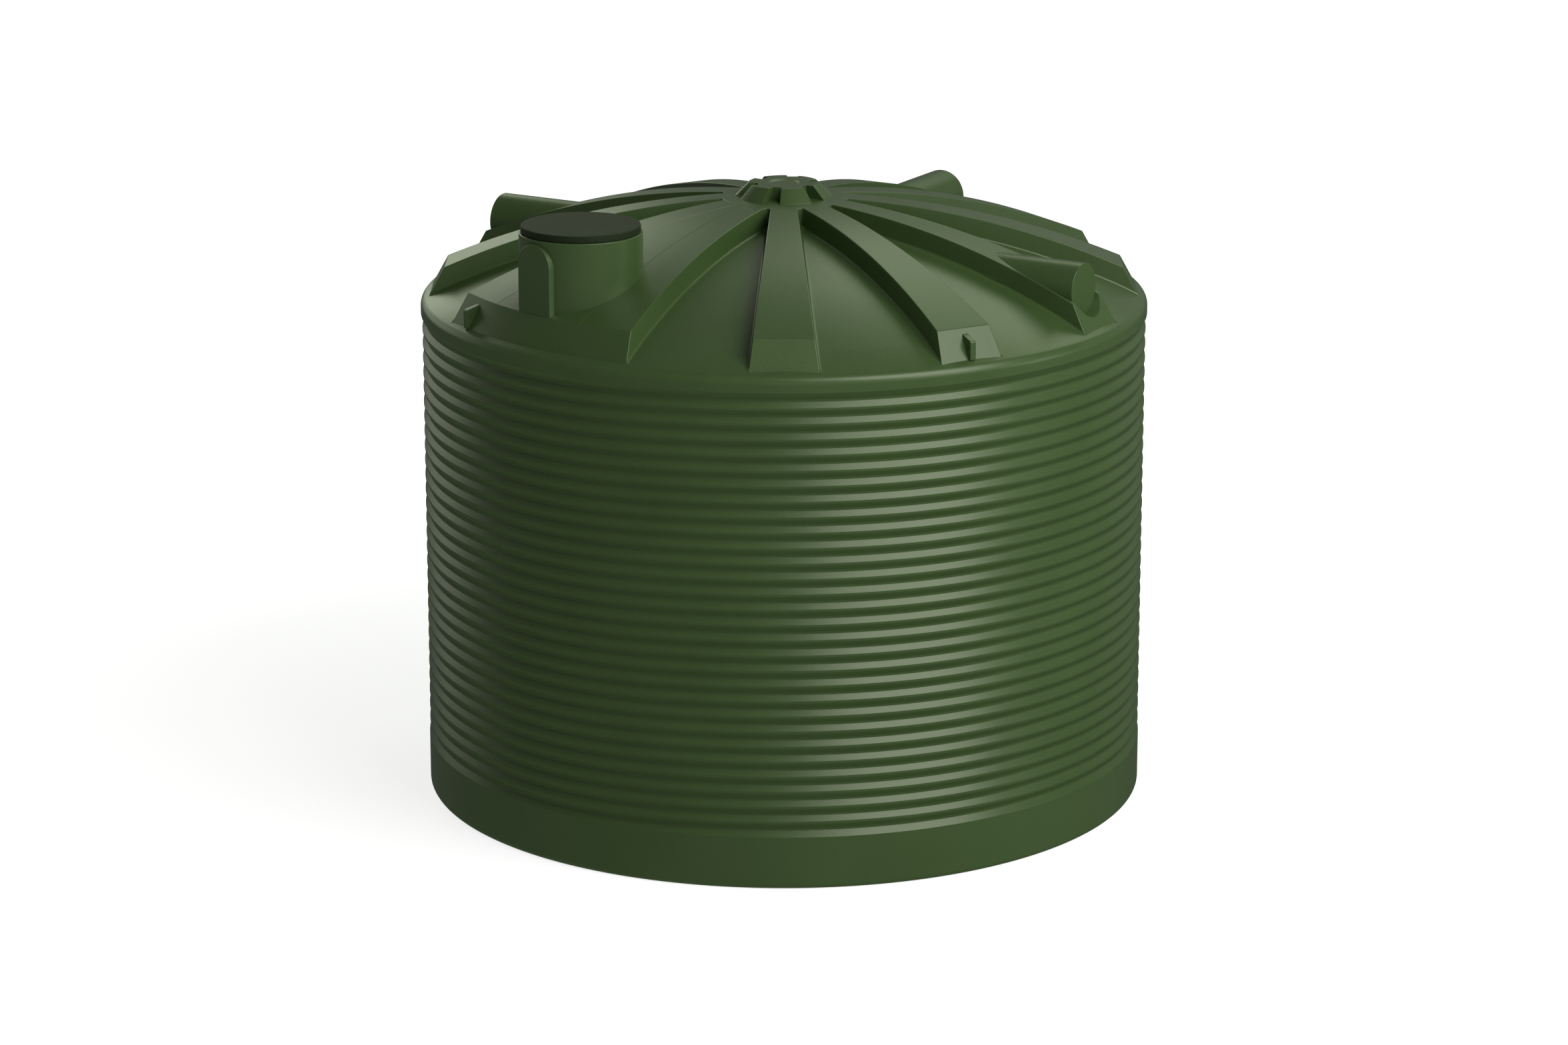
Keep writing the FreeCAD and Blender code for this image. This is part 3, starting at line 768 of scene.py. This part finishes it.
lid = draw_line("lid_form", [
    (neck_reach, 0, lid_top),
    (lid_outside - lid_border, 0, lid_top),
    (lid_outside, 0, lid_top),
    (lid_outside, 0, rim_bottom),
    (lid_outside - lid_wall, 0, rim_bottom),
    (lid_outside - lid_wall, 0, neck_top),
    (skirt_outside, 0, neck_top),
    (skirt_outside, 0, neck_top - lid_skirt_drop),
    (skirt_outside - lid_wall, 0, neck_top - lid_skirt_drop),
    (skirt_outside - lid_wall, 0, lid_top - skin_thickness),
    (neck_reach, 0, lid_top - skin_thickness),
])
for corner_height, reach, segments in ((lid_top, lid_round, 4), (rim_bottom, lid_low_round, 2)):
    round_corners(lid, lambda v: abs(v.co.z - corner_height) < close_by and v.co.x > lid_outside - close_by,
                  reach, segments)
turn(lid, round_steps, centre=(neck_reach, 0, 0))
bpy.ops.object.mode_set(mode="OBJECT")
shade(lid)
lid_green = moulded_plastic(
    "lid_green", deep=(0.007, 0.014, 0.003), pale=(0.014, 0.028, 0.006), polish=(0.62, 0.78),
    relief_depth=0.0040, scales={"Pebble Scale": 190.0, "Peel Scale": 90.0, "Cloud Scale": 5.0},
    speck_share=0.8, ior=1.4)
place(lid, "manhole_lid", platform_angle, "access_lid", slot="lid_green", material=lid_green)
bpy.data.objects.remove(lid)

# Lifting lugs: small fins of green polyethylene with an eye, on the sloped ends of four ribs. They are
# moulded in one with the ribs, and slings are tied to them when the tank is moved.
lug_half_thickness = 0.015
lug_nose = 1.720
lug_top = 2.568
lug_nose_top = 2.546
lug_bottom = 2.458
lug_sunk = 0.004
lug_nose_round = 0.008
lug_round = 0.003
eye_place = (1.700, 0, 2.516)
eye_radius = 0.005
eye_sides = 24
drill_length = 0.1


def on_rib_end(height):
    """Place along +X where the rib's sloped end is at a height, a little inside it."""
    return rib_crease[0] + (height - rib_crease[1]) * end_direction.x / end_direction.z - lug_sunk


lug = draw_line("lug_form", [
    (on_rib_end(lug_bottom), 0, lug_bottom),
    (lug_nose, 0, lug_bottom),
    (lug_nose, 0, lug_nose_top),
    (on_rib_end(lug_top), 0, lug_top),
])
fill_outline()
round_corners(lug, lambda v: v.co.x > lug_nose - close_by and v.co.z > lug_nose_top - close_by,
              lug_nose_round, segments=4)
extrude_both_ways(lug_half_thickness)
bpy.ops.object.mode_set(mode="OBJECT")
soften(lug, lug_round, segments=2, sharper_than=40)
cut(lug, round_bar("eye", eye_sides, eye_radius, drill_length, eye_place, (math.pi / 2, 0, 0)))
shade(lug)
for k in (2, 5, 8, 11):
    place(lug, f"sling_lug_{k}", rib_pitch * (k - 1), f"lifting_lug_{k}")
bpy.data.objects.remove(lug)

# Studio: a white table lit from within, which keeps the tank's soft shadow, in a white room. The camera sees
# both as white. The plastic takes the table's light, but its satin skin mirrors the table and the room only
# dimly, so that the dark green isn't washed out.
table_size = 240
table_grey = (0.5, 0.5, 0.5, 1)
white = (1, 1, 1, 1)
fade_reach = (2.0, 7.0)
fade_glow = (0.82, 1.0)
table_light = 0.70
table_mirrored = 0.08
room_light = 0.0
room_mirrored = 0.15

bpy.ops.object.select_all(action="DESELECT")
bpy.ops.mesh.primitive_plane_add(size=table_size)
table = bpy.context.object
table.name = "studio_table"
table_look = bpy.data.materials.new("studio_table")
table_look.use_nodes = True
table_look.cycles.emission_sampling = "NONE"
tree = table_look.node_tree
tree.nodes.remove(tree.nodes["Principled BSDF"])


def seen_directly(tree):
    """One for rays from the camera, straight or through something clear, and nought for all others."""
    path = tree.nodes.new("ShaderNodeLightPath")
    either = tree.nodes.new("ShaderNodeMath")
    either.operation = "MAXIMUM"
    tree.links.new(path.outputs["Is Camera Ray"], either.inputs[0])
    tree.links.new(path.outputs["Is Transmission Ray"], either.inputs[1])
    return either.outputs[0]


def seen_by_plastic(tree, light, gloss):
    """A strength for the light that the plastic takes, and another for what its gloss mirrors."""
    path = tree.nodes.new("ShaderNodeLightPath")
    share = add_node(tree, "ShaderNodeMapRange", To_Min=light, To_Max=gloss)
    tree.links.new(path.outputs["Is Glossy Ray"], share.inputs["Value"])
    return share.outputs["Result"]


paint = add_node(tree, "ShaderNodeBsdfDiffuse", Color=table_grey)
spot = tree.nodes.new("ShaderNodeTexCoord")
away = tree.nodes.new("ShaderNodeVectorMath")
away.operation = "LENGTH"
tree.links.new(spot.outputs["Object"], away.inputs[0])
fade = add_node(tree, "ShaderNodeMapRange", From_Min=fade_reach[0], From_Max=fade_reach[1],
                To_Min=fade_glow[0], To_Max=fade_glow[1])
tree.links.new(away.outputs["Value"], fade.inputs["Value"])
glow = add_node(tree, "ShaderNodeEmission", Color=white)
tree.links.new(fade.outputs["Result"], glow.inputs["Strength"])
lit = tree.nodes.new("ShaderNodeAddShader")
tree.links.new(paint.outputs[0], lit.inputs[0])
tree.links.new(glow.outputs[0], lit.inputs[1])
bounce = add_node(tree, "ShaderNodeEmission", Color=white)
tree.links.new(seen_by_plastic(tree, table_light, table_mirrored), bounce.inputs["Strength"])
choice = tree.nodes.new("ShaderNodeMixShader")
tree.links.new(seen_directly(tree), choice.inputs[0])
tree.links.new(bounce.outputs[0], choice.inputs[1])
tree.links.new(lit.outputs[0], choice.inputs[2])
tree.links.new(choice.outputs[0], tree.nodes["Material Output"].inputs["Surface"])
table.data.materials.append(table_look)

room = bpy.data.worlds.new("studio")
bpy.context.scene.world = room
room.use_nodes = True
tree = room.node_tree
background = tree.nodes["Background"]
background.inputs["Color"].default_value = white
level = add_node(tree, "ShaderNodeMapRange", To_Max=1.0)
tree.links.new(seen_directly(tree), level.inputs["Value"])
tree.links.new(seen_by_plastic(tree, room_light, room_mirrored), level.inputs["To Min"])
tree.links.new(level.outputs["Result"], background.inputs["Strength"])

# Lamps: soft boxes on stands round the tank, all aimed at its middle. A wide one stands high on the right,
# with weaker ones below it, at the side and in front, and slightly green ones stand behind for the edges.
tank_middle = Vector((0, 0, 1.4))
lamp_distance = 14
edge_tint = (0.89, 1.0, 0.75)


def lamp(name, degrees, elevation, size, power, colour=(1, 1, 1)):
    """A soft box at an angle from the front towards +X and a rise, with its size in metres and its watts."""
    turn_to = math.radians(degrees)
    rise = math.radians(elevation)
    away = Vector((math.sin(turn_to) * math.cos(rise), -math.cos(turn_to) * math.cos(rise), math.sin(rise)))
    data = bpy.data.lights.new(name, "AREA")
    data.shape = "RECTANGLE"
    data.size, data.size_y = size
    data.energy = power
    data.color = colour
    source = bpy.data.objects.new(name, data)
    bpy.context.scene.collection.objects.link(source)
    source.location = tank_middle + away * lamp_distance
    source.rotation_euler = away.to_track_quat("Z", "Y").to_euler()


lamp("key_box", 44, 44, (10.5, 7), 1140)
lamp("lower_box", 50, 22, (6, 4), 215)
lamp("side_box", 80, 8, (4, 4), 118)
lamp("front_box", 20, 10, (14, 7), 90)
lamp("right_edge_box", 155, 45, (9, 5), 225, edge_tint)
lamp("right_low_box", 145, 16, (13, 5), 20, edge_tint)
lamp("left_edge_box", -145, 19, (10, 8), 165, edge_tint)
lamp("left_core_box", -160, 26, (5, 7), 115, edge_tint)
lamp("left_low_box", -120, 15, (5, 4), 32, edge_tint)

# Camera: a long lens on a tall stand, straight in front of the tank and well back from it. It looks down at
# the wall and the roof as the photograph does.
camera_place = (0, -22.8484, 7.6232)
camera_tilt = 74.482
lens_length = 110.95
film_width = 36
sight_limit = 300

view = bpy.data.cameras.new("photo_view")
view.sensor_width = film_width
view.sensor_fit = "HORIZONTAL"
view.lens = lens_length
view.clip_end = sight_limit
camera = bpy.data.objects.new("photo_view", view)
bpy.context.scene.collection.objects.link(camera)
camera.location = camera_place
camera.rotation_euler = (math.radians(camera_tilt), 0, 0)
bpy.context.scene.camera = camera
bpy.context.scene.view_settings.view_transform = "Standard"
